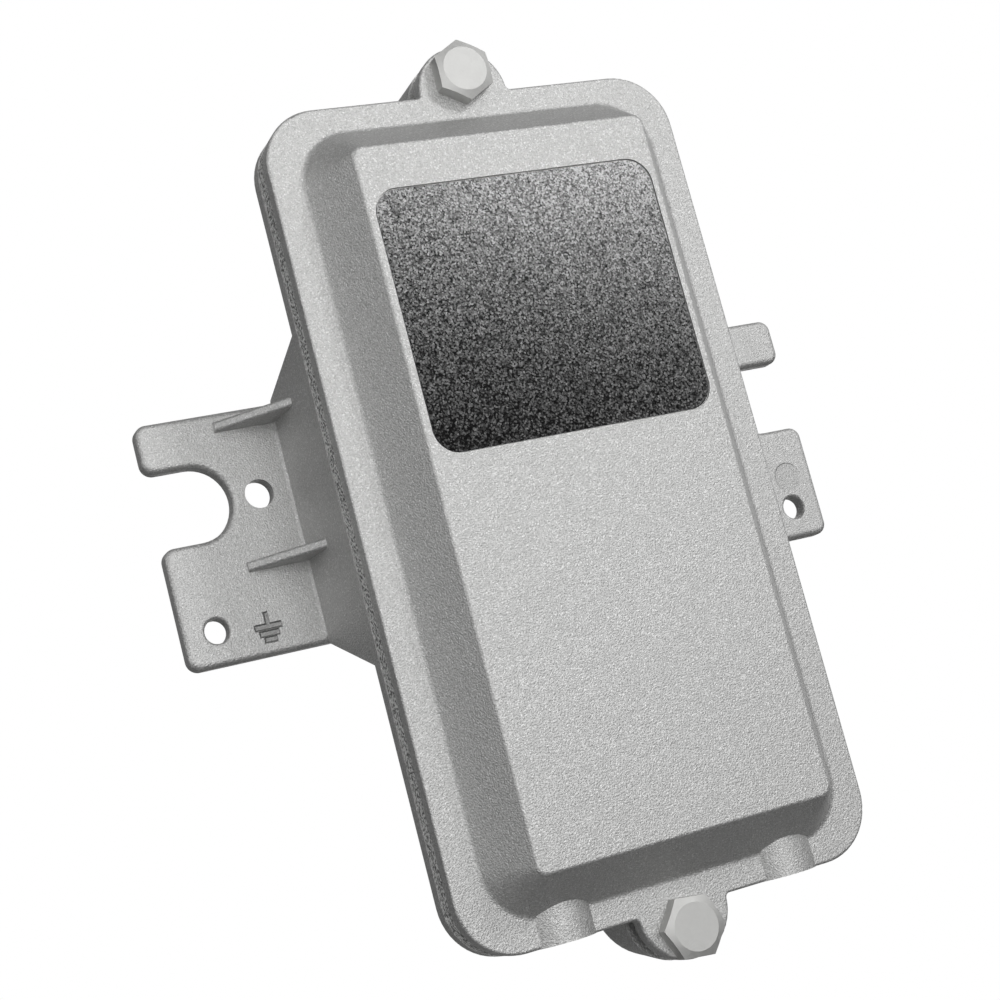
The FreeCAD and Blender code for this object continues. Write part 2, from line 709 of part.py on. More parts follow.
def build_cover():
    body = new_body("cover")
    sketch = new_sketch(body, "CoverFlangeOutline", "XZ_Plane", cover_rear)
    rectangle(sketch, -flange_half_width, flange_half_width, -flange_half_height, flange_half_height,
              size.flange_corner)
    pad(body, "CoverFlange", sketch, size.cover_flange_thickness)
    for side, sign in (("Top", 1), ("Bottom", -1)):
        sketch = new_sketch(body, f"{side}CoverEarOutline", "XZ_Plane", cover_rear)
        circle(sketch, 0, sign * cover_ear_rise, size.cover_ear_radius)
        pad(body, f"{side}CoverEar", sketch, size.cover_flange_thickness)

    def ear_joint(edge):
        """True for an edge through the flange where an ear leaves its straight side"""
        box = edge.BoundBox
        return (box.XLength < EDGE_TOLERANCE and box.ZLength < EDGE_TOLERANCE
                and abs(abs(box.ZMin) - flange_half_height.value) < EDGE_TOLERANCE
                and abs(box.XMin) < size.cover_ear_radius.value)

    round_edges(body, "EarJoints", size.cover_ear_fillet, ear_joint)
    round_edges(body, "CoverEdges", size.cover_edge_round, lambda edge: level_edge(edge, cover_front.value))

    # Raised panel with sloping sides, rounded round its face and in the corner at its foot
    foot = new_sketch(body, "PanelFoot", "XZ_Plane", cover_front)
    rectangle(foot, -foot_half_width, foot_half_width, -foot_half_height, foot_half_height, size.foot_corner)
    face = new_sketch(body, "PanelFace", "XZ_Plane", panel_front)
    rectangle(face, -panel_half_width, panel_half_width, -panel_bottom, panel_top, size.panel_corner)
    loft(body, "Panel", [foot, face])

    def panel_foot(edge):
        """True for an edge in which the panel meets the flange"""
        middle = edge.BoundBox.Center
        return (level_edge(edge, cover_front.value) and abs(middle.x) < foot_half_width.value + EDGE_TOLERANCE
                and abs(middle.z) < foot_half_height.value + EDGE_TOLERANCE)

    round_edges(body, "PanelEdges", size.panel_edge_round, lambda edge: level_edge(edge, panel_front.value))
    round_edges(body, "PanelFootCorner", size.foot_round, panel_foot)

    # Half-round crowns over the cable entries run into the panel's lower slope
    rim = flange_half_height - cavity_half_height
    for side, sign in (("Left", -1), ("Right", 1)):
        sketch = new_sketch(body, f"{side}CrownOutline", "XY_Plane", -flange_half_height)
        entry_segment(sketch, sign * entry_side, cover_rear + size.cover_flange_thickness / 2, rear=False)
        pad(body, f"{side}Crown", sketch, rim)

    # The inside follows the outside at the cover's wall thickness
    inner_front = panel_front - size.cover_wall
    mouth = new_sketch(body, "CoverMouth", "XZ_Plane", cover_rear)
    wide = cavity_half_width
    tall = cavity_half_height
    rectangle(mouth, -wide, wide, -tall, tall, size.cavity_corner)
    roof = new_sketch(body, "CoverRoof", "XZ_Plane", inner_front)
    inset = size.cover_roof_inset
    wide = panel_half_width - inset
    rectangle(roof, -wide, wide, inset - panel_bottom, panel_top - inset, size.panel_corner)
    loft(body, "CoverCavity", [mouth, roof], additive=False)
    bore_entries(body, "Cover")

    sketch = new_sketch(body, "CoverBoltHoles", "XZ_Plane", cover_front)
    for sign in (-1, 1):
        circle(sketch, 0, sign * bolt_rise, size.bolt_radius + size.bolt_hole_gap)
    pocket(body, "EarHoles", sketch, size.cover_flange_thickness + size.cut_overshoot)
    sketch = new_sketch(body, "LabelRecessOutline", "XZ_Plane", panel_front)
    gap = size.label_gap
    rectangle(sketch, -label_half_width - gap, label_half_width + gap,
              label_bottom - gap, label_top + gap, size.label_corner + gap)
    pocket(body, "LabelRecess", sketch, size.label_recess)
    finish(body, "cover")


# Label: a printed plate in the recess of the panel

def build_label():
    body = new_body("label")
    sketch = new_sketch(body, "LabelOutline", "XZ_Plane", panel_front - size.label_recess)
    rectangle(sketch, -label_half_width, label_half_width, label_bottom, label_top, size.label_corner)
    pad(body, "LabelPlate", sketch, size.label_thickness)
    finish(body, "label")


# Gasket: a die-cut rubber strip that ends at the two cable entries, and a short strip between them

def build_gaskets():
    rim_bottom = -flange_half_height + size.gasket_inset
    wide = flange_half_width - size.gasket_inset
    tall = flange_half_height - size.gasket_inset
    body = new_body("gasket")
    sketch = new_sketch(body, "GasketOutline", "XZ_Plane", joint)
    rectangle(sketch, -wide, wide, -tall, tall, size.flange_corner - size.gasket_inset)
    rectangle(sketch, -cavity_half_width, cavity_half_width,
              -cavity_half_height, cavity_half_height, size.cavity_corner)
    pad(body, "GasketRing", sketch, size.gasket_thickness)
    sketch = new_sketch(body, "GasketGap", "XZ_Plane", cover_rear)
    rectangle(sketch, -entry_side, entry_side, -flange_half_height, size.cut_overshoot - cavity_half_height)
    pocket(body, "GasketOpening", sketch, size.gasket_thickness + size.cut_overshoot)
    bore_entries(body, "Gasket")
    finish(body, "gasket")

    body = new_body("gasket_bridge")
    sketch = new_sketch(body, "BridgeOutline", "XZ_Plane", joint)
    rectangle(sketch, -entry_side, entry_side, rim_bottom, -cavity_half_height)
    pad(body, "Bridge", sketch, size.gasket_thickness)
    for side, sign in (("Left", -1), ("Right", 1)):
        sketch = new_sketch(body, f"Bridge{side}Bore", "XY_Plane", -flange_half_height)
        circle(sketch, sign * entry_side, -entry_axis, size.entry_bore_radius)
        pocket(body, f"Bridge{side}End", sketch, flange_half_height, forwards=True)
    finish(body, "gasket_bridge")


# Cable grommets: slit rubber bushes that the two halves of the housing close on

def build_grommets():
    rim = flange_half_height - cavity_half_height
    outer = size.entry_bore_radius - size.running_gap
    for name, sign in (("left_grommet", -1), ("right_grommet", 1)):
        body = new_body(name)
        sketch = new_sketch(body, "BushOutline", "XY_Plane", -flange_half_height + size.grommet_recess)
        circle(sketch, 0, 0, outer)
        pad(body, "Bush", sketch, rim - size.grommet_recess + size.seat_gap + size.grommet_lip_length)
        sketch = new_sketch(body, "LipOutline", "XY_Plane", -cavity_half_height + size.seat_gap)
        circle(sketch, 0, 0, size.grommet_lip_radius)
        pad(body, "Lip", sketch, size.grommet_lip_length)
        sketch = new_sketch(body, "CableHoleOutline", "XY_Plane", -flange_half_height)
        circle(sketch, 0, 0, size.grommet_hole_radius)
        pocket(body, "CableHole", sketch, rim * 2, forwards=True)
        sketch = new_sketch(body, "SlitOutline", "XY_Plane", -flange_half_height)
        half = size.grommet_slit / 2
        rectangle(sketch, -half, half, 0, size.grommet_lip_radius * 2)
        pocket(body, "Slit", sketch, rim * 2, forwards=True)
        finish(body, name, sign * entry_side, entry_axis)


# Cover bolts: hexagon heads with a chamfered face, kept in the cover by a ring on the shank

def build_bolts():
    half_flats = size.bolt_head_flats / 2
    corner = size.bolt_head_flats / math.sqrt(3)
    for name, sign, turned in (("top_bolt", 1, 0), ("bottom_bolt", -1, -SIZES["bottom_bolt_angle"])):
        body = new_body(name)
        sketch = new_sketch(body, "HexOutline", "XZ_Plane", cover_front)
        outline(sketch, [
            (0, -corner, None), (half_flats, -corner / 2, None), (half_flats, corner / 2, None),
            (0, corner, None), (-half_flats, corner / 2, None), (-half_flats, -corner / 2, None),
        ])
        pad(body, "Head", sketch, size.bolt_head_height)
        sketch = new_sketch(body, "HeadChamfer", "XY_Plane", 0)
        top = -(cover_front + size.bolt_head_height)
        face = half_flats - size.bolt_face_inset
        edge = corner + size.cut_overshoot
        clear = top - size.cut_overshoot
        outline(sketch, [(face, top, None), (edge, top + (edge - face) * size.bolt_face_slope, None),
                         (edge, clear, None), (face, clear, None)])
        turn(body, "HeadTop", sketch, additive=False)
        sketch = new_sketch(body, "ShankOutline", "XY_Plane", 0)
        tip = size.bolt_length - cover_front
        chamfer = size.bolt_chamfer
        inside_head = -cover_front - size.cut_overshoot
        outline(sketch, [(0, inside_head, None), (size.bolt_radius, inside_head, None),
                         (size.bolt_radius, tip - chamfer, None), (size.bolt_radius - chamfer, tip, None),
                         (0, tip, None)])
        turn(body, "Shank", sketch)
        finish(body, name, 0, 0, sign * bolt_rise)
        body.Placement = FreeCAD.Placement(body.Placement.Base, FreeCAD.Rotation(FreeCAD.Vector(0, 1, 0), turned))

        ring = new_body(f"{name}_ring")
        sketch = new_sketch(ring, "RingOutline", "XZ_Plane", cover_rear - size.seat_gap - size.ring_thickness)
        circle(sketch, 0, 0, size.ring_outer_radius)
        circle(sketch, 0, 0, size.bolt_radius)
        pad(ring, "Ring", sketch, size.ring_thickness)
        finish(ring, f"{name}_ring", 0, 0, sign * bolt_rise)


# Circuit board

def build_board():
    body = new_body("circuit_board")
    sketch = new_sketch(body, "BoardOutline", "XZ_Plane", board_rear)
    rectangle(sketch, -board_half_width, board_half_width, -board_bottom, board_top,
              size.board_corner)
    for x, z in board_screw_places():
        circle(sketch, x, z, size.board_screw_radius + size.seat_gap)
    pad(body, "Board", sketch, size.board_thickness)
    finish(body, "circuit_board")


# Shielded jacks: a folded metal shield round a moulded insert with eight spring contacts

def build_jacks():
    half_width = size.jack_width / 2
    half_height = size.jack_height / 2
    wall = size.shield_wall
    inner_width = half_width - wall
    inner_height = half_height - wall
    for name, sign in (("line_jack", -1), ("equipment_jack", 1)):
        shield = new_body(f"{name}_shield")
        sketch = new_sketch(shield, "ShieldOutline", "XY_Plane", 0)
        rectangle(sketch, -half_width, half_width, -half_height, half_height)
        pad(shield, "Shield", sketch, size.jack_depth)
        sketch = new_sketch(shield, "ShieldInside", "XY_Plane", 0)
        rectangle(sketch, -inner_width, inner_width, -inner_height, inner_height)
        pocket(shield, "ShieldHollow", sketch, size.jack_depth - wall, forwards=True)
        finish(shield, f"{name}_shield", sign * jack_side, entry_axis, -jack_mouth)

        insert = new_body(f"{name}_insert")
        gap = size.running_gap
        sketch = new_sketch(insert, "InsertOutline", "XY_Plane", 0)
        rectangle(sketch, gap - inner_width, inner_width - gap, gap - inner_height, inner_height - gap)
        pad(insert, "Insert", sketch, size.jack_depth - wall - gap)
        half_socket = size.socket_width / 2
        low = size.socket_height / 2
        high = -size.socket_height / 2
        sketch = new_sketch(insert, "SocketOutline", "XY_Plane", 0)
        half_latch = size.latch_width / 2
        outline(sketch, [
            (-half_socket, low, None), (-half_socket, high, None), (-half_latch, high, None),
            (-half_latch, high - size.latch_height, None), (half_latch, high - size.latch_height, None),
            (half_latch, high, None), (half_socket, high, None), (half_socket, low, None),
        ])
        pocket(insert, "Socket", sketch, size.socket_depth, forwards=True)
        finish(insert, f"{name}_insert", sign * jack_side, entry_axis, -jack_mouth)

        # Spring contacts lie side by side on the rear wall of the socket
        springs = []
        for i in range(CONTACTS):
            spring = doc.addObject("Part::Box", f"{name}Spring{i + 1}")
            bind(spring, "Length", size.contact_width)
            bind(spring, "Width", size.contact_thickness)
            bind(spring, "Height", size.contact_length)
            bind(spring, "Placement.Base.x", spread(i, CONTACTS, size.contact_pitch) - size.contact_width / 2)
            bind(spring, "Placement.Base.y", low - size.contact_thickness)
            bind(spring, "Placement.Base.z", size.contact_setback)
            springs.append(spring)
        group = doc.addObject("Part::Compound", f"{name}_contacts")
        group.Links = springs
        finish(group, f"{name}_contacts", sign * jack_side, entry_axis, -jack_mouth)


# Small turned and moulded parts made from plain solids

def cylinder(name, radius, length, axis, x=0, front=0, z=0):
    """A rod along one axis, centred on its place"""
    rod = doc.addObject("Part::Cylinder", name)
    bind(rod, "Radius", radius)
    bind(rod, "Height", length)
    half = as_size(length) / 2
    y = -as_size(front)
    if axis == "z":
        spot = (x, y, as_size(z) - half)
        rotation = FreeCAD.Rotation()
    elif axis == "x":
        spot = (as_size(x) - half, y, z)
        rotation = FreeCAD.Rotation(FreeCAD.Vector(0, 1, 0), 90)
    else:
        spot = (x, y + half, z)
        rotation = FreeCAD.Rotation(FreeCAD.Vector(1, 0, 0), 90)
    rod.Placement = FreeCAD.Placement(FreeCAD.Vector(), rotation)
    for prop, length_along in zip(("x", "y", "z"), spot):
        bind(rod, f"Placement.Base.{prop}", length_along)
    return rod


def block(name, wide, deep, tall, x=0, front=0, z=0):
    """A box centred on its place"""
    box = doc.addObject("Part::Box", name)
    for prop, length in (("Length", wide), ("Width", deep), ("Height", tall)):
        bind(box, prop, length)
    bind(box, "Placement.Base.x", as_size(x) - as_size(wide) / 2)
    bind(box, "Placement.Base.y", -as_size(front) - as_size(deep) / 2)
    bind(box, "Placement.Base.z", as_size(z) - as_size(tall) / 2)
    return box


def fused(name, shapes):
    joined = doc.addObject("Part::MultiFuse", name)
    joined.Shapes = shapes
    joined.Refine = True
    return joined


def spread(index, count, pitch):
    """Place of one of several parts in a row, centred on the middle"""
    return (index - (count - 1) / 2) * pitch


def row_pitch(count):
    """Spacing that spreads a row over the board's width inside its margins"""
    return (board_half_width - size.row_margin) * 2 / count


def row_rise(share):
    """Height of a row that lies at a share of the board's height"""
    return (board_top + board_bottom) * share - board_bottom


# Gas discharge tubes: three-electrode arresters lying on the board on square feet

def build_gas_tubes():
    centre = size.gas_tube_radius + size.electrode_step * 2
    ring = size.gas_tube_radius + size.electrode_step
    end = (size.gas_tube_length - size.electrode_width) / 2
    for i in range(GAS_TUBES):
        name = f"gas_tube_{i + 1}"
        shapes = [cylinder(f"{name}_ceramic", size.gas_tube_radius, size.gas_tube_length, "z")]
        for number, z in enumerate((-end, 0, end)):
            shapes.append(cylinder(f"{name}_electrode_{number}", ring, size.electrode_width, "z", z=z))
            shapes.append(block(f"{name}_foot_{number}", size.gas_tube_radius, centre, size.electrode_width,
                                front=-centre / 2, z=z))
        finish(fused(name, shapes), name, spread(i, GAS_TUBES, row_pitch(GAS_TUBES)), board_front + centre,
               row_rise(size.gas_tube_row))


# Surge diodes: flat moulded blocks with a lead folded under each end

def build_diodes():
    for i in range(DIODES):
        name = f"surge_diode_{i + 1}"
        lead = size.diode_lead
        shapes = [block(f"{name}_case", size.diode_width, size.diode_height - lead, size.diode_length,
                        front=size.diode_height / 2 + lead / 2)]
        for number, sign in enumerate((-1, 1)):
            end = sign * size.diode_length / 2
            shapes.append(block(f"{name}_lead_{number}", size.diode_width / 2, size.diode_height / 2, lead,
                                front=size.diode_height / 4, z=end + sign * lead / 2))
            shapes.append(block(f"{name}_pad_{number}", size.diode_width / 2, lead, size.diode_length / 4,
                                front=lead / 2, z=end - sign * size.diode_length / 8))
        finish(fused(name, shapes), name, spread(i, DIODES, row_pitch(DIODES)), board_front,
               row_rise(size.diode_row))


# Series resistors: round bodies with pressed end caps

def build_resistors():
    cap = size.resistor_radius + size.electrode_step
    for i in range(RESISTORS):
        name = f"line_resistor_{i + 1}"
        end = (size.resistor_length - size.resistor_cap) / 2
        shapes = [cylinder(f"{name}_rod", size.resistor_radius, size.resistor_length, "z")]
        for number, z in enumerate((-end, end)):
            shapes.append(cylinder(f"{name}_cap_{number}", cap, size.resistor_cap, "z", z=z))
        finish(fused(name, shapes), name, spread(i, RESISTORS, row_pitch(RESISTORS)), board_front + cap,
               row_rise(size.resistor_row))


# Screws: round heads with a cross recess, whose slots are sized as parts of the head's radius

SLOT_LENGTH = 1.2
SLOT_WIDTH = 0.25


def screw(name, radius, head_radius, head_height, length):
    """A screw whose head sits on the level 0 and whose shank points backwards"""
    head = cylinder(f"{name}_head", head_radius, head_height, "y", front=head_height / 2)
    shank = cylinder(f"{name}_shank", radius, length, "y", front=-length / 2)
    deep = head_height / 2
    long, short = head_radius * SLOT_LENGTH, head_radius * SLOT_WIDTH
    slots = [
        block(f"{name}_level_slot", long, deep, short, front=head_height - deep / 2),
        block(f"{name}_upright_slot", short, deep, long, front=head_height - deep / 2),
    ]
    cut = doc.addObject("Part::Cut", f"{name}_body")
    cut.Base = fused(f"{name}_blank", [head, shank])
    cut.Tool = fused(f"{name}_cross", slots)
    return cut


def build_screws():
    screws = []
    for i, (x, z) in enumerate(board_screw_places()):
        lift = size.strap_thickness if i == 4 else 0
        item = screw(f"board_screw_{i + 1}", size.board_screw_radius, size.board_screw_head_radius,
                     size.board_screw_head_height, size.board_screw_length - size.running_gap)
        bind(item, "Placement.Base.x", x)
        bind(item, "Placement.Base.y", -as_size(lift))
        bind(item, "Placement.Base.z", z)
        screws.append(item)
    group = doc.addObject("Part::Compound", "board_screws")
    group.Links = screws
    finish(group, "board_screws", 0, board_front)


# Ground bond: a copper strap from the board to a boss in the housing, under a screw and a lock washer

def build_ground():
    washer_front = ground_boss_front + size.strap_thickness
    middle = (ground_boss_drop + board_screw_lower) / 2
    length = ground_boss_drop - board_screw_lower + size.strap_overhang * 2
    strap = block("StrapStrip", size.strap_width, size.strap_thickness, length, front=size.strap_thickness / 2,
                  z=-middle)
    cutter = size.strap_thickness + size.cut_overshoot * 2
    holes = [
        cylinder("StrapUpperHole", size.board_screw_radius + size.seat_gap, cutter, "y", z=-board_screw_lower),
        cylinder("StrapLowerHole", size.ground_screw_radius + size.seat_gap, cutter, "y", z=-ground_boss_drop),
    ]
    cut = doc.addObject("Part::Cut", "ground_strap")
    cut.Base = strap
    cut.Tool = fused("StrapHoles", holes)
    finish(cut, "ground_strap", 0, ground_boss_front)

    disc = cylinder("WasherDisc", size.washer_radius, size.washer_thickness, "y", front=size.washer_thickness / 2)
    hole = cylinder("WasherHole", size.ground_screw_radius + size.seat_gap, cutter, "y")
    cut = doc.addObject("Part::Cut", "ground_washer")
    cut.Base = disc
    cut.Tool = hole
    finish(cut, "ground_washer", 0, washer_front, -ground_boss_drop)

    item = screw("ground_screw", size.ground_screw_radius, size.ground_screw_head_radius,
                 size.ground_screw_head_height, size.ground_screw_length)
    finish(item, "ground_screw", 0, washer_front + size.washer_thickness, -ground_boss_drop)


build_base()
build_cover()
build_label()
build_gaskets()
build_grommets()
build_bolts()
build_board()
build_jacks()
build_gas_tubes()
build_diodes()
build_resistors()
build_screws()
build_ground()
doc.recompute()

for item in doc.Objects:
    if "Invalid" in item.State or "Error" in item.State:
        raise RuntimeError(f"{item.Label} is {item.State}")
for name, item in nodes.items():
    if item.Shape.isNull() or not item.Shape.isValid():
        raise RuntimeError(f"{name} has no valid shape")
for name, item in nodes.items():
    item.Shape.exportStep(f"parts/{name}.step")
    print(name, len(item.Shape.Solids), round(item.Shape.Volume, 1), item.Shape.BoundBox)
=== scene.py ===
import math

import bmesh
import bpy
import numpy as np
from mathutils import Matrix, Vector


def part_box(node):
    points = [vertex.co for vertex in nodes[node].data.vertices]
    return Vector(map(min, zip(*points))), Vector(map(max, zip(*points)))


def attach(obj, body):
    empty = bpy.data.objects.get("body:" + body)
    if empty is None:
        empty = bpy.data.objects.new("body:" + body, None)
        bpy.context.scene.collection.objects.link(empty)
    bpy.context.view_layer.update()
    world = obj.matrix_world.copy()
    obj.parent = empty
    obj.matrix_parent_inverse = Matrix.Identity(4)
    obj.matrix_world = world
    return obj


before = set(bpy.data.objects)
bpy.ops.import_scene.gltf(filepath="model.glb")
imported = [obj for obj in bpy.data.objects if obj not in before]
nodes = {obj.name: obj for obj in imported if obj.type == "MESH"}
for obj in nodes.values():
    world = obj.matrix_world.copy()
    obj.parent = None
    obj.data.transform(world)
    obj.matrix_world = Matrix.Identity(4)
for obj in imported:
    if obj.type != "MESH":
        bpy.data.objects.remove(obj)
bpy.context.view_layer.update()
bpy.context.scene.view_settings.view_transform = "Standard"


# Camera
# It stands to the left of the part, a little below its middle, and is rolled as the photograph is.
# Its place and aim come from the part's straight edges in the photograph.

MM = 0.001
CAMERA_PLACE = Vector((-147.3, -336.0, -38.4)) * MM
CAMERA_AIM = Vector((0.39724, 0.90700, 0.13981))
CAMERA_UP = Vector((0.17938, -0.22615, 0.95744))
CAMERA_NEAREST = 1 * MM
LENS_IN_MM = 70.67
SENSOR_IN_MM = 36.0

camera = bpy.data.objects.new("camera", bpy.data.cameras.new("camera"))
bpy.context.scene.collection.objects.link(camera)
bpy.context.scene.camera = camera
camera.data.lens = LENS_IN_MM
camera.data.sensor_width = SENSOR_IN_MM
camera.data.clip_start = CAMERA_NEAREST
turned = Matrix((CAMERA_AIM.cross(CAMERA_UP), CAMERA_UP, -CAMERA_AIM)).transposed()
camera.matrix_world = Matrix.Translation(CAMERA_PLACE) @ turned.to_4x4()


# Castings: base housing and cover
# Both are die-cast aluminium, blasted to an even sandy grain under a clear seal that leaves the metal's grey.
# The grain is bumps of about a third of a millimetre, some of them dark pits, strewn with finer bright facets.

class Value:
    """A number or colour that changes over a surface. Arithmetic on it adds Math nodes."""

    def __init__(self, owner, socket):
        self.owner = owner
        self.socket = socket

    def math(self, operation, *others, swapped=False):
        terms = [*others, self] if swapped else [self, *others]
        return self.owner.add("Math", {"operation": operation}, dict(enumerate(terms)))

    def __add__(self, other):
        return self.math("ADD", other)

    __radd__ = __add__

    def __mul__(self, other):
        return self.math("MULTIPLY", other)

    __rmul__ = __mul__

    def __sub__(self, other):
        return self.math("SUBTRACT", other)

    def __rsub__(self, other):
        return self.math("SUBTRACT", other, swapped=True)

    def __truediv__(self, other):
        return self.math("DIVIDE", other)

    def __rtruediv__(self, other):
        return self.math("DIVIDE", other, swapped=True)

    def __pow__(self, power):
        return self.math("POWER", power)

    def __rpow__(self, base):
        return self.math("POWER", base, swapped=True)

    def __lt__(self, limit):
        return self.math("LESS_THAN", limit)

    def __gt__(self, limit):
        return self.math("GREATER_THAN", limit)

    def __abs__(self):
        return self.math("ABSOLUTE")


# A Mix node's sockets for colours come after those for numbers and vectors
MIX_SHARE, MIX_FIRST, MIX_SECOND, MIX_RESULT = 0, 6, 7, 2


class Nodes:
    """A node tree that is built up node by node."""

    def __init__(self, tree):
        self.tree = tree

    def add(self, kind, settings, inputs, output=0):
        """Adds one node: its settings first, then the values or links of its sockets"""
        node = self.tree.nodes.new("ShaderNode" + kind)
        for name, setting in settings.items():
            setattr(node, name, setting)
        for name, content in inputs.items():
            self.feed(node.inputs[name], content)
        return Value(self, node.outputs[output])

    def feed(self, socket, content):
        """Gives a socket a link, a colour or a number"""
        if isinstance(content, Value):
            self.tree.links.new(content.socket, socket)
        elif socket.type == "RGBA":
            socket.default_value = (*content, 1)
        else:
            socket.default_value = content

    def between(self, amount, start, full):
        """A smooth step from 0 at start to 1 at full, whichever of them is greater"""
        settings = {"interpolation_type": "SMOOTHSTEP"}
        return self.add("MapRange", settings, {"Value": amount, "From Min": start, "From Max": full})

    def blend(self, share, first, second):
        """A colour between two colours"""
        inputs = {MIX_SHARE: share, MIX_FIRST: first, MIX_SECOND: second}
        return self.add("Mix", {"data_type": "RGBA"}, inputs, MIX_RESULT)


class Finish(Nodes):
    """One surface finish: a material on the Principled shader."""

    def __init__(self, name, metallic=0.0, specular=0.5):
        self.material = bpy.data.materials.new(name)
        self.material.use_nodes = True
        super().__init__(self.material.node_tree)
        self.shader = self.tree.nodes["Principled BSDF"]
        self.wear(Metallic=metallic, Specular_IOR_Level=specular)

    def wear(self, **contents):
        """Feeds the shader's own sockets, such as Base_Color or Roughness"""
        for name, content in contents.items():
            self.feed(self.shader.inputs[name.replace("_", " ")], content)

    def place(self, centre=(0, 0, 0)):
        """Place on the piece in metres, counted from a centre"""
        own = self.add("TexCoord", {}, {}, "Object")
        shift = tuple(-length for length in centre)
        return self.add("Mapping", {}, {"Vector": own, "Location": shift})

    def axes(self, centre=(0, 0, 0)):
        """The three coordinates as numbers"""
        place = self.place(centre)
        return [self.add("SeparateXYZ", {}, {"Vector": place}, axis) for axis in range(3)]

    def grain(self, width, detail=2.0):
        """Cloudy noise from 0 to 1 with grains of a given width"""
        return self.add("TexNoise", {}, {"Vector": self.place(), "Scale": 1 / width, "Detail": detail})

    def specks(self, width):
        """Cells of a given width, each with a random shade"""
        return self.add("TexVoronoi", {}, {"Vector": self.place(), "Scale": 1 / width}, "Color")

    def relief(self, height, depth):
        """Bumps as high as depth where height is 1"""
        return self.add("Bump", {}, {"Height": height, "Distance": depth, "Strength": 1.0})


def dress(finish, *names):
    """Gives CAD nodes a finish"""
    for name in names:
        for material_slot in nodes[name].material_slots:
            material_slot.material = finish.material


CASTING_GREY = (0.545, 0.545, 0.54)
CASTING_PIT = (0.45, 0.45, 0.445)
CASTING_GLINT = (0.73, 0.73, 0.725)
# Painted shade for the sunk marks, reached in full at the depth below
CASTING_PAINTED_SHADE = (0.20, 0.20, 0.195)
CASTING_ROUGHNESS = 0.50
CASTING_ROUGHER = 0.15
SAND_GRAIN = 0.30 * MM
SAND_FACET = 0.22 * MM
SAND_SWELL = 1.6 * MM
SAND_DEPTH = 0.16 * MM
SWELL_SHARE = 0.2
PITS = (0.52, 0.36)
GLINTS = (0.60, 0.95)
FULL_PAINTED_SHADE_DEPTH = 0.7273 * MM


def casting_finish(name, marks=None):
    """Bumps of a fine and a broad grain, less the depth of any marks. The marks are painted darker the deeper they
    are, as painted shade in their recesses
    """
    finish = Finish(name, metallic=1.0)
    fine = finish.grain(SAND_GRAIN, detail=1)
    broad = finish.grain(SAND_SWELL, detail=1)
    shade = finish.blend(finish.between(fine, *PITS), CASTING_GREY, CASTING_PIT)
    shade = finish.blend(finish.between(finish.specks(SAND_FACET), *GLINTS), shade, CASTING_GLINT)
    height = fine * (1 - SWELL_SHARE) + broad * SWELL_SHARE
    if marks:
        depth = marks(finish)
        # Painted shade: the sunk marks are darkened in step with their depth
        shade = finish.blend(depth / FULL_PAINTED_SHADE_DEPTH, shade, CASTING_PAINTED_SHADE)
        height = height - depth / SAND_DEPTH
    finish.wear(Base_Color=shade, Roughness=fine * CASTING_ROUGHER + CASTING_ROUGHNESS,
                Normal=finish.relief(height, SAND_DEPTH))
    return finish


dress(casting_finish("blasted_cover"), "cover")


# Marks in the base housing
# An earth sign is sunk into the left wing beside its mounting hole: a stem over three bars, each shorter than the
# one above. The flat end of an ejector pin left a shallow round dint in the right wing.

SIGN_SIDE = -50.7 * MM
STEM_TOP = 1.5 * MM
STEM_FOOT = -1.0 * MM
STEM_WIDTH = 0.7 * MM
BAR_THICKNESS = 0.95 * MM
BAR_HEIGHTS_AND_LENGTHS = ((-1.05 * MM, 5.0 * MM), (-2.3 * MM, 3.6 * MM), (-3.4 * MM, 2.3 * MM))
SIGN_DEPTH = 0.40 * MM
MARK_EDGE = 0.36 * MM
PIN_SIDE = 60.3 * MM
PIN_HEIGHT = 6.1 * MM
PIN_RADIUS = 2.7 * MM
PIN_DEPTH = 0.10 * MM
MARKS_IN_FRONT_OF = -2.5 * MM


def sunk_marks(finish):
    """How deep the marks are. A stroke is a rectangle, and its depth eases out with the greater of the distances
    past its end and past its side. The dint is round, and its depth eases out with the distance from its middle"""
    x, y, z = finish.axes((SIGN_SIDE, 0, 0))
    strokes = [((STEM_TOP + STEM_FOOT) / 2, STEM_WIDTH, STEM_TOP - STEM_FOOT)]
    strokes += [(height, length, BAR_THICKNESS) for height, length in BAR_HEIGHTS_AND_LENGTHS]
    sunk = 0
    for height, wide, tall in strokes:
        outside = (abs(x) - wide / 2).math("MAXIMUM", abs(z - height) - tall / 2)
        sunk = finish.between(outside, MARK_EDGE / 2, -MARK_EDGE / 2).math("MAXIMUM", sunk)
    across = x + (SIGN_SIDE - PIN_SIDE)
    along = z - PIN_HEIGHT
    dint = finish.between((across * across + along * along) ** 0.5, PIN_RADIUS + MARK_EDGE, PIN_RADIUS)
    return (sunk * SIGN_DEPTH + dint * PIN_DEPTH) * (y < MARKS_IN_FRONT_OF)


dress(casting_finish("blasted_base", sunk_marks), "base_housing")


# Label
# A thin dark film, stuck in the panel's recess and left blank. Its face carries fine bright flakes, and over them
# a painted highlight: they are painted denser towards the top and the right, which leaves the lower left corner
# nearly black.

FILM_DARK = (0.005, 0.005, 0.005)
FILM_FLAKE = (0.36, 0.36, 0.36)
FILM_ROUGHNESS = 0.38
FILM_SMOOTHER = 0.1
FILM_RELIEF = 0.03 * MM
FLAKE_WIDTH = 0.30 * MM
FLAKE_CONTRAST = 2.2
FLAKE_LIGHT = 0.6
FLAKES_MIDDLE = 0.60
# Painted highlight: how far the flake share rises towards the top and towards the right
PAINTED_LIGHT_UPWARDS = 0.32
PAINTED_LIGHT_RIGHTWARDS = 0.12


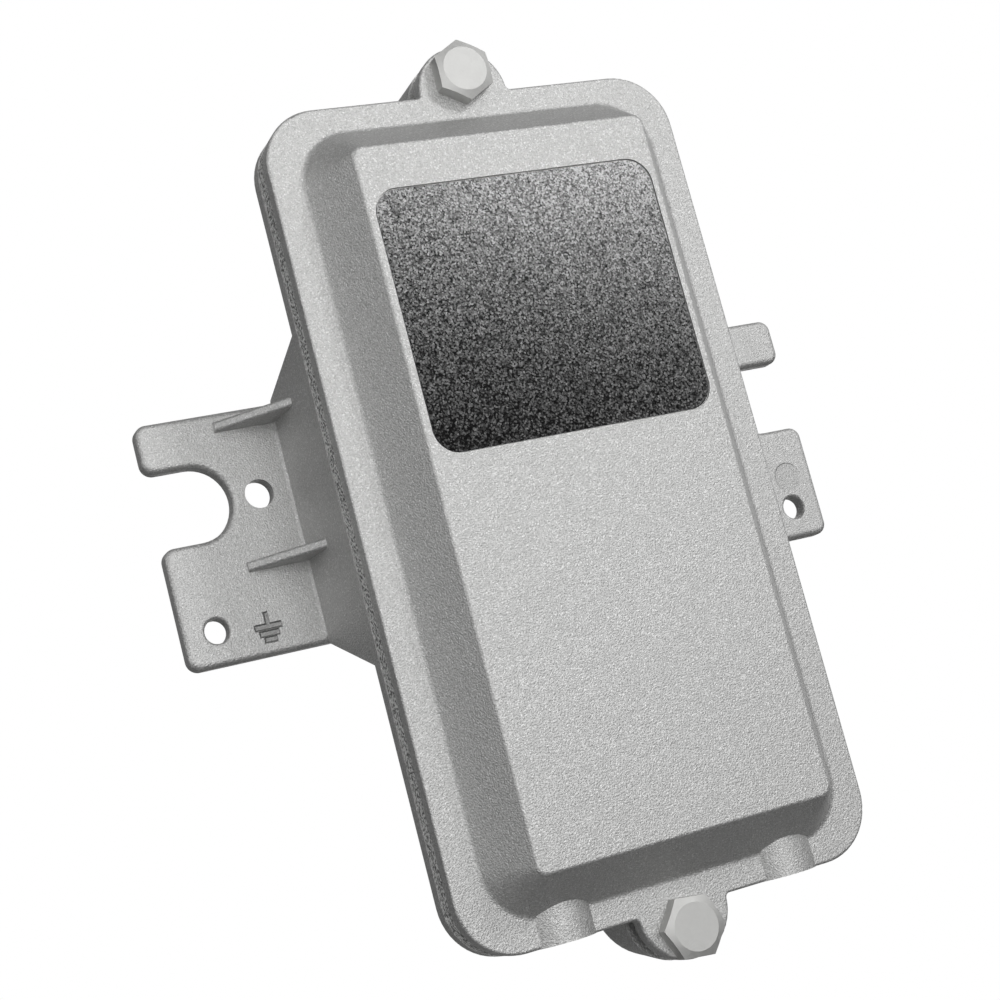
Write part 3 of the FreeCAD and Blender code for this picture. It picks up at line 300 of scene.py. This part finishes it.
def label_finish():
    """The flake light grows as the square of the flake share: noise round a middle level, plus a painted highlight
    that raises it evenly towards the top and the right of the label
    """
    low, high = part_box("label")
    finish = Finish("flaked_film", metallic=1.0)
    x, y, z = finish.axes(tuple((low + high) / 2))
    # Painted highlight: the flake share rises evenly towards the right and the top
    painted_light_rightwards = x * (PAINTED_LIGHT_RIGHTWARDS * 2 / (high.x - low.x))
    painted_light_upwards = z * (PAINTED_LIGHT_UPWARDS * 2 / (high.z - low.z))
    cloud = finish.grain(FLAKE_WIDTH, detail=3)
    texture = (finish.specks(FLAKE_WIDTH) + cloud) / 2
    share = painted_light_rightwards + painted_light_upwards + FLAKES_MIDDLE + (texture - 0.5) * FLAKE_CONTRAST
    flakes_and_painted_light = share.math("MAXIMUM", 0) ** 2 * FLAKE_LIGHT
    finish.wear(Base_Color=finish.blend(flakes_and_painted_light, FILM_DARK, FILM_FLAKE),
                Roughness=FILM_ROUGHNESS - cloud * FILM_SMOOTHER, Normal=finish.relief(cloud, FILM_RELIEF))
    return finish


dress(label_finish(), "label")


# Gasket
# A strip cut from black closed-cell sponge, pinched between the flanges. Its cut edge is ragged:
# open cells look black and the skins between them grey.

SPONGE_DARK = (0.12, 0.12, 0.12)
SPONGE_SKIN = (0.80, 0.80, 0.79)
SPONGE_ROUGHNESS = 0.85
SPONGE_CELL = 0.45 * MM
SPONGE_RELIEF = 0.12 * MM
SKINS = (0.38, 0.58)


def gasket_finish():
    finish = Finish("sponge_rubber", specular=0.3)
    cells = finish.grain(SPONGE_CELL, detail=3)
    finish.wear(Base_Color=finish.blend(finish.between(cells, *SKINS), SPONGE_DARK, SPONGE_SKIN),
                Roughness=SPONGE_ROUGHNESS, Normal=finish.relief(cells, SPONGE_RELIEF))
    return finish


dress(gasket_finish(), "gasket", "gasket_bridge")


# Cable grommets
# Moulded black rubber with a slit for the cable, clamped where the two halves of the housing meet.
# A little dust lies on it.

RUBBER_BLACK = (0.018, 0.018, 0.018)
RUBBER_DUST = (0.05, 0.05, 0.048)
RUBBER_ROUGHNESS = (0.62, 0.82)
RUBBER_RELIEF = 0.015 * MM
RUBBER_PORE = 0.25 * MM
DUST_WIDTH = 1.2 * MM


def clouded_finish(name, first, second, cloud, roughness, relief, pore=None, detail=3, **base):
    """Soft clouds run from the first colour and roughness to the second. The relief is theirs, or that of pores"""
    finish = Finish(name, **base)
    clouds = finish.grain(cloud, detail)
    height = finish.grain(pore) if pore else clouds
    smooth, rough = roughness
    finish.wear(Base_Color=finish.blend(clouds, first, second), Roughness=clouds * (rough - smooth) + smooth,
                Normal=finish.relief(height, relief))
    return finish


dress(clouded_finish("moulded_rubber", RUBBER_BLACK, RUBBER_DUST, DUST_WIDTH, RUBBER_ROUGHNESS, RUBBER_RELIEF,
                     pore=RUBBER_PORE, detail=4, specular=0.35), "left_grommet", "right_grommet")


# Cover bolts
# M6 hexagon bolts in plain stainless steel, one through each of the cover's ears. The top of the head is turned,
# which leaves fine rings, and the shank behind it has a rolled thread, 1 mm a turn.

STEEL_GREY = (0.62, 0.62, 0.61)
STEEL_DARK = (0.50, 0.50, 0.49)
STEEL_ROUGHNESS = 0.50
STEEL_ROUGHER = 0.18
THREAD_PITCH = 1.0 * MM
THREAD_DEPTH = 0.35 * MM
THREAD_ROOT = 2.6 * MM
HEAD_BACK = -30.5 * MM
TURNING_STEP = 0.22 * MM
TURNING_SHARE = 0.008
SCUFF_WIDTH = 0.9 * MM
SCUFF_SHARE = 0.03


def bolt_finish(name):
    """The rings follow the sine of the radius. The thread is a ramp up and down for each turn round the axis, and
    the height of rings and scuffs is a share of its depth"""
    low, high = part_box(name)
    finish = Finish(f"turned_steel_{name}", metallic=1.0)
    x, y, z = finish.axes(((low.x + high.x) / 2, 0, (low.z + high.z) / 2))
    radius = (x * x + z * z) ** 0.5
    rings = (radius * (2 * math.pi / TURNING_STEP)).math("SINE")
    turns = (y / THREAD_PITCH + z.math("ARCTAN2", x) / (2 * math.pi)).math("FRACT")
    thread = abs(turns - 0.5) * 2
    on_shank = (y > HEAD_BACK) * (radius > THREAD_ROOT)
    scuffs = finish.grain(SCUFF_WIDTH, detail=4)
    height = rings * TURNING_SHARE * (1 - on_shank) + scuffs * SCUFF_SHARE + thread * on_shank
    finish.wear(Base_Color=finish.blend(scuffs, STEEL_DARK, STEEL_GREY),
                Roughness=scuffs * STEEL_ROUGHER + STEEL_ROUGHNESS, Normal=finish.relief(height, THREAD_DEPTH))
    return finish


for bolt in ("top_bolt", "bottom_bolt"):
    dress(bolt_finish(bolt), bolt)


# Retaining rings
# Thin washers punched from black nylon sheet. One is pushed onto each bolt behind the cover's ear, so that the
# bolts stay in the cover when it comes off.

NYLON_BLACK = (0.02, 0.02, 0.02)
NYLON_HAZE = (0.045, 0.045, 0.045)
NYLON_ROUGHNESS = (0.45, 0.60)
NYLON_CLOUD = 0.8 * MM
NYLON_RELIEF = 0.01 * MM

dress(clouded_finish("black_nylon", NYLON_BLACK, NYLON_HAZE, NYLON_CLOUD, NYLON_ROUGHNESS, NYLON_RELIEF,
                     specular=0.4), "top_bolt_ring", "bottom_bolt_ring")


# Circuit board
# Glass-fibre laminate under green solder resist. Copper tracks run down between the rows of surge parts
# and show through the resist as paler, slightly raised lines.

RESIST_GREEN = (0.010, 0.115, 0.045)
RESIST_ROUGHNESS = 0.32
RESIST_ROUGHER = 0.1
RESIST_SKIN = 0.05 * MM
TRACK_GREEN = (0.030, 0.20, 0.085)
TRACK_PITCH = 3.25 * MM
TRACK_WIDTH = 1.1 * MM
TRACK_EDGE = 0.1 * MM
TRACK_RELIEF = 0.04 * MM
TRACK_INSET_FOOT = 6 * MM
TRACK_INSET_TOP = 9 * MM
TRACK_INSET_SIDE = 3 * MM
LAMINATE_EDGE = (0.42, 0.40, 0.24)
WEAVE_WIDTH = 0.5 * MM
WEAVE_SHARE = 0.1
BOARD_LOW, BOARD_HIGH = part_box("circuit_board")


def board_finish():
    """Tracks repeat along X with their pitch, and stop short of the board's edges"""
    finish = Finish("solder_resist")
    x, y, z = finish.axes()
    off_track = abs((x / TRACK_PITCH).math("FRACT") - 0.5) * TRACK_PITCH
    track = finish.between(off_track, TRACK_WIDTH / 2, TRACK_WIDTH / 2 - TRACK_EDGE)
    track = track * (z > BOARD_LOW.z + TRACK_INSET_FOOT) * (z < BOARD_HIGH.z - TRACK_INSET_TOP)
    track = track * (abs(x) < BOARD_HIGH.x - TRACK_INSET_SIDE)
    weave = finish.grain(WEAVE_WIDTH, detail=1)
    on_face = (y < BOARD_LOW.y + RESIST_SKIN) + (y > BOARD_HIGH.y - RESIST_SKIN)
    green = finish.blend(track, RESIST_GREEN, TRACK_GREEN)
    finish.wear(Base_Color=finish.blend(on_face, LAMINATE_EDGE, green),
                Roughness=weave * RESIST_ROUGHER + RESIST_ROUGHNESS,
                Normal=finish.relief(track + weave * WEAVE_SHARE, TRACK_RELIEF))
    return finish


dress(board_finish(), "circuit_board")


# Solder
# Small bright fillets of tin solder on the board's pads. Each holds a lead of a surge part: a gas tube has three
# leads, a resistor or a diode two.

SOLDER_DULL = (0.50, 0.50, 0.49)
SOLDER_BRIGHT = (0.62, 0.62, 0.60)
SOLDER_ROUGHNESS = (0.22, 0.42)
SOLDER_CLOUD = 0.6 * MM
SOLDER_RELIEF = 0.03 * MM
FILLET_WIDTH_SHARE = 0.62
FILLET_LENGTH = 2.0 * MM
FILLET_HEIGHT = 0.55 * MM
FILLET_SIDES = 40
FILLET_RINGS = 9
OUTLINE_POWER = 4
POLE_MERGE = 0.0001 * MM


def surface(name, points):
    """Makes a mesh of a grid of points. Its rows follow each other round and the last meets the first, and a column
    whose points all fall together becomes a pole"""
    rows, columns = points.shape[:2]
    index = np.arange(rows * columns).reshape(rows, columns)
    index = np.vstack([index, index[:1]])
    faces = np.stack([index[:-1, :-1], index[:-1, 1:], index[1:, 1:], index[1:, :-1]], axis=-1).reshape(-1, 4)
    mesh = bpy.data.meshes.new(name)
    mesh.from_pydata(points.reshape(-1, 3).tolist(), [], faces.tolist())
    form = bmesh.new()
    form.from_mesh(mesh)
    bmesh.ops.remove_doubles(form, verts=form.verts, dist=POLE_MERGE)
    form.to_mesh(mesh)
    form.free()
    mesh.shade_smooth()
    piece = bpy.data.objects.new(name, mesh)
    bpy.context.scene.collection.objects.link(piece)
    return piece


def fillet(middle_x, middle_z, width):
    """A low dome on the board: the outline is a superellipse, and the height over the board falls from the middle
    to the rim as the square of a cosine. Its flat underside closes it"""
    around = np.linspace(0, -2 * math.pi, FILLET_SIDES, endpoint=False)[:, None]
    rings = np.linspace(1, 0, FILLET_RINGS)
    out = np.concatenate([[0], rings])[None, :]
    rise = np.concatenate([[0], np.cos(rings * math.pi / 2) ** 2])[None, :]
    x = np.sign(np.cos(around)) * np.abs(np.cos(around)) ** (2 / OUTLINE_POWER) * width / 2
    z = np.sign(np.sin(around)) * np.abs(np.sin(around)) ** (2 / OUTLINE_POWER) * FILLET_LENGTH / 2
    y = BOARD_LOW.y - FILLET_HEIGHT * rise + 0 * around
    return np.stack([middle_x + x * out, y, middle_z + z * out], axis=-1)


solder = clouded_finish("solder", SOLDER_DULL, SOLDER_BRIGHT, SOLDER_CLOUD, SOLDER_ROUGHNESS, SOLDER_RELIEF,
                        metallic=0.9)
for name in nodes:
    if name.startswith(("line_resistor", "surge_diode", "gas_tube")):
        low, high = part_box(name)
        middle = (low + high) / 2
        leads = [low.z, high.z, middle.z] if name.startswith("gas_tube") else [low.z, high.z]
        for number, lead in enumerate(leads, 1):
            dome = fillet(middle.x, lead, (high.x - low.x) * FILLET_WIDTH_SHARE)
            piece = surface(f"{name}_solder_{number}", dome)
            piece.data.materials.append(solder.material)
            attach(piece, "housing")


# Shielded jacks
# Each stands on the board with its socket facing down, to the cable entries. A shield folded from tinned steel
# is wrapped round a black moulding, which has eight gold-plated springs in its socket.

TIN_DULL = (0.55, 0.55, 0.54)
TIN_BRIGHT = (0.70, 0.70, 0.69)
TIN_ROUGHNESS = 0.28
TIN_CLOUD = 2.5 * MM
TIN_CLOUD_ROUGHER = 0.14
TIN_RELIEF = 0.02 * MM
SPANGLE_WIDTH = 1.8 * MM
SPANGLE_ROUGHER = 0.06
MOULDING_BLACK = (0.015, 0.015, 0.016)
MOULDING_HAZE = (0.035, 0.035, 0.036)
MOULDING_ROUGHNESS = (0.42, 0.62)
MOULDING_CLOUD = 0.7 * MM
MOULDING_PORE = 0.2 * MM
MOULDING_RELIEF = 0.01 * MM
GOLD_DEEP = (0.72, 0.50, 0.17)
GOLD_PALE = (0.86, 0.64, 0.27)
GOLD_ROUGHNESS = (0.22, 0.37)
GOLD_CLOUD = 0.4 * MM
GOLD_RELIEF = 0.006 * MM


def shield_finish():
    finish = Finish("tinned_steel", metallic=0.9)
    haze = finish.grain(TIN_CLOUD, detail=4)
    spangle = finish.specks(SPANGLE_WIDTH)
    finish.wear(Base_Color=finish.blend(haze, TIN_DULL, TIN_BRIGHT),
                Roughness=spangle * SPANGLE_ROUGHER + haze * TIN_CLOUD_ROUGHER + TIN_ROUGHNESS,
                Normal=finish.relief(haze, TIN_RELIEF))
    return finish


shield = shield_finish()
moulding = clouded_finish("jack_moulding", MOULDING_BLACK, MOULDING_HAZE, MOULDING_CLOUD, MOULDING_ROUGHNESS,
                          MOULDING_RELIEF, pore=MOULDING_PORE, specular=0.45)
gold = clouded_finish("gold_plate", GOLD_DEEP, GOLD_PALE, GOLD_CLOUD, GOLD_ROUGHNESS, GOLD_RELIEF, metallic=1.0)
for jack in ("line_jack", "equipment_jack"):
    dress(shield, f"{jack}_shield")
    dress(moulding, f"{jack}_insert")
    dress(gold, f"{jack}_contacts")


# Surge parts on the board
# Gas tubes are glazed ceramic between three tinned rings; resistors are lacquered, with tinned caps and colour
# rings; surge diodes are black epoxy blocks with tinned leads.

TINNED = (0.66, 0.66, 0.65)
TINNED_METALLIC = 0.9
BODY_ROUGHNESS = 0.30
BODY_ROUGHER = 0.12
BODY_CLOUD = 0.8 * MM
BODY_RELIEF = 0.012 * MM
CERAMIC = ((0.66, 0.62, 0.56), (0.76, 0.73, 0.68))
LACQUER = ((0.10, 0.22, 0.34), (0.14, 0.28, 0.42))
EPOXY = ((0.016, 0.016, 0.017), (0.035, 0.035, 0.036))
GAS_RING_WIDTH = 1.44 * MM
CAP_WIDTH = 1.32 * MM
LEAD_WIDTH = 0.46 * MM
COLOUR_RING_WIDTH = 0.70 * MM
COLOUR_RINGS = (
    (1.5 * MM, (0.42, 0.02, 0.01)),
    (0.5 * MM, (0.55, 0.16, 0.01)),
    (-0.5 * MM, (0.01, 0.01, 0.01)),
    (-1.6 * MM, (0.20, 0.07, 0.02)),
)


def banded_finish(kind, name, colours, band_width, middle_band=False, rings=()):
    """A clouded body with tinned bands across it, one at each end along Z, one in the middle where it has that,
    and rings of colour at given heights from the middle"""
    low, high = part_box(name)
    finish = Finish(f"{kind}_{name}")
    x, y, z = finish.axes(tuple((low + high) / 2))
    haze = finish.grain(BODY_CLOUD, detail=3)
    shade = finish.blend(haze, *colours)
    for height, colour in rings:
        shade = finish.blend(abs(z - height) < COLOUR_RING_WIDTH / 2, shade, colour)
    end_band = (high.z - low.z - band_width) / 2
    metal = abs(abs(z) - end_band) < band_width / 2
    if middle_band:
        metal = metal + (abs(z) < band_width / 2)
    finish.wear(Base_Color=finish.blend(metal, shade, TINNED), Metallic=metal * TINNED_METALLIC,
                Roughness=haze * BODY_ROUGHER + BODY_ROUGHNESS, Normal=finish.relief(haze, BODY_RELIEF))
    return finish


for name in nodes:
    if name.startswith("gas_tube"):
        dress(banded_finish("glazed_ceramic", name, CERAMIC, GAS_RING_WIDTH, middle_band=True), name)
    if name.startswith("line_resistor"):
        dress(banded_finish("lacquer", name, LACQUER, CAP_WIDTH, rings=COLOUR_RINGS), name)
    if name.startswith("surge_diode"):
        dress(banded_finish("epoxy", name, EPOXY, LEAD_WIDTH), name)


# Board screws and ground bond
# Zinc-plated steel screws hold the board on its posts. A brushed copper strap bonds it to the casting: one end
# lies under a board screw, the other under the ground screw and its lock washer.

ZINC_DULL = (0.50, 0.50, 0.47)
ZINC_BRIGHT = (0.64, 0.63, 0.60)
ZINC_ROUGHNESS = (0.26, 0.46)
ZINC_CLOUD = 1.1 * MM
ZINC_PORE = 0.3 * MM
ZINC_RELIEF = 0.01 * MM
COPPER_STAINED = (0.58, 0.24, 0.12)
COPPER_BRIGHT = (0.78, 0.40, 0.25)
COPPER_ROUGHNESS = 0.26
COPPER_ROUGHER = 0.2
COPPER_RELIEF = 0.01 * MM
STAIN_WIDTH = 2.4 * MM
BRUSH_LENGTH = 11.111 * MM
BRUSH_STRETCH = 30


def copper_finish():
    """Brushed along Z: the noise is squeezed across it"""
    finish = Finish("copper_strip", metallic=0.95)
    stain = finish.grain(STAIN_WIDTH, detail=4)
    squeezed = finish.add("Mapping", {}, {"Vector": finish.place(), "Scale": (BRUSH_STRETCH, BRUSH_STRETCH, 1)})
    brushed = finish.add("TexNoise", {}, {"Vector": squeezed, "Scale": 1 / BRUSH_LENGTH, "Detail": 3.0})
    finish.wear(Base_Color=finish.blend(stain, COPPER_STAINED, COPPER_BRIGHT),
                Roughness=brushed * COPPER_ROUGHER + COPPER_ROUGHNESS, Normal=finish.relief(brushed, COPPER_RELIEF))
    return finish


dress(clouded_finish("zinc_plate", ZINC_DULL, ZINC_BRIGHT, ZINC_CLOUD, ZINC_ROUGHNESS, ZINC_RELIEF, pore=ZINC_PORE,
                     detail=4, metallic=0.9), "board_screws", "ground_screw", "ground_washer")
dress(copper_finish(), "ground_strap")


# Studio
# The part hangs as if on its wall, over a plain floor. A small lamp stands high at the front right and a broad soft
# one straight in front, a broader one fills the left side, and one behind keeps the back readable.

FLOOR_LEVEL = -0.60
FLOOR_REACH = 6.0
FLOOR_SIDES = 96
FLOOR_RINGS = 24
FLOOR_GREY = (0.40, 0.40, 0.40)
FLOOR_ROUGHNESS = 0.9
FLOOR_MIRRORED = 0.05
FLOOR_WHITE_NEAR = 0.7
FLOOR_SHADOW_REACH = (0.4, 1.6)
WHITE = (1, 1, 1)
AMBIENT = 0.06
STUDIO_FRONT = 1.0
STUDIO_RIGHT = 0.8
STUDIO_BACK = 0.28
STUDIO_TOP = 0.28

# Direction from the part, distance and width in metres, and power in watts
LAMPS = {
    "key_lamp": ((0.49, -0.71, 0.505), 1.2, 0.14, 2.2),
    "front_lamp": ((0.0, -1.0, 0.02), 1.55, 0.8, 5.8),
    "left_lamp": ((-0.85, -0.45, 0.24), 1.66, 1.5, 8.0),
    "back_lamp": ((0.5, 1.0, 0.15), 1.6, 1.0, 7.0),
}


def stage_floor():
    """A disc whose angle and radius are its two parameters"""
    around = np.linspace(0, 2 * math.pi, FLOOR_SIDES, endpoint=False)[:, None]
    out = np.linspace(0, 1, FLOOR_RINGS)[None, :] ** 2 * FLOOR_REACH
    points = np.stack([out * np.cos(around), out * np.sin(around), FLOOR_LEVEL + 0 * out * around], axis=-1)
    floor = surface("floor", points)
    return floor


def floor_finish():
    """Matt, and seen by the camera as a white sheet. Near the part that white gives way to a share of the lit floor,
    which takes the shadow. Glass sees it as the camera does, and metal sees a little of the white"""
    finish = Finish("studio_floor", specular=0.0)
    x, y, z = finish.axes()
    camera_ray = finish.add("LightPath", {}, {}, "Is Camera Ray")
    glossy_ray = finish.add("LightPath", {}, {}, "Is Glossy Ray")
    transmission_ray = finish.add("LightPath", {}, {}, "Is Transmission Ray")
    seen = camera_ray.math("MAXIMUM", glossy_ray * FLOOR_MIRRORED).math("MAXIMUM", transmission_ray)
    away = finish.between((x * x + y * y) ** 0.5, *FLOOR_SHADOW_REACH)
    share = seen * (away * (1 - FLOOR_WHITE_NEAR) + FLOOR_WHITE_NEAR)
    finish.wear(Base_Color=FLOOR_GREY, Roughness=FLOOR_ROUGHNESS)
    lit = Value(finish, finish.shader.outputs[0])
    glow = finish.add("Emission", {}, {"Color": WHITE, "Strength": 1.0})
    sheet = finish.add("MixShader", {}, {0: share, 1: lit, 2: glow})
    finish.feed(finish.tree.nodes["Material Output"].inputs["Surface"], sheet)
    return finish


def studio_world():
    """A low even light, white all round to the camera. Metal and glass see it as a studio that is bright in front,
    dimmer at the right, behind and above, and dark at the left and below; a share grows as the square of a cosine"""
    world = bpy.data.worlds.new("studio")
    world.use_nodes = True
    room = Nodes(world.node_tree)
    direction = room.add("TexCoord", {}, {}, "Generated")
    x, y, z = [room.add("SeparateXYZ", {}, {"Vector": direction}, axis) for axis in range(3)]
    sides = [(0 - y, STUDIO_FRONT), (y, STUDIO_BACK), (x, STUDIO_RIGHT), (z, STUDIO_TOP)]
    walls = sum(side.math("MAXIMUM", 0) ** 2 * level for side, level in sides)
    camera_ray = room.add("LightPath", {}, {}, "Is Camera Ray")
    glossy_ray = room.add("LightPath", {}, {}, "Is Glossy Ray")
    transmission_ray = room.add("LightPath", {}, {}, "Is Transmission Ray")
    mirrored = glossy_ray.math("MAXIMUM", transmission_ray) * walls
    background = world.node_tree.nodes["Background"]
    room.feed(background.inputs["Color"], WHITE)
    room.feed(background.inputs["Strength"], camera_ray.math("MAXIMUM", mirrored).math("MAXIMUM", AMBIENT))
    bpy.context.scene.world = world


def lamp(name, direction, distance, width, power):
    """A square area lamp that looks at the part from a direction"""
    light = bpy.data.lights.new(name, "AREA")
    light.shape = "SQUARE"
    light.size = width
    light.energy = power
    stand = bpy.data.objects.new(name, light)
    bpy.context.scene.collection.objects.link(stand)
    stand.location = Vector(direction).normalized() * distance
    stand.rotation_euler = Vector(direction).to_track_quat("Z", "Y").to_euler()


stage_floor().data.materials.append(floor_finish().material)
studio_world()
for name, setting in LAMPS.items():
    lamp(name, *setting)
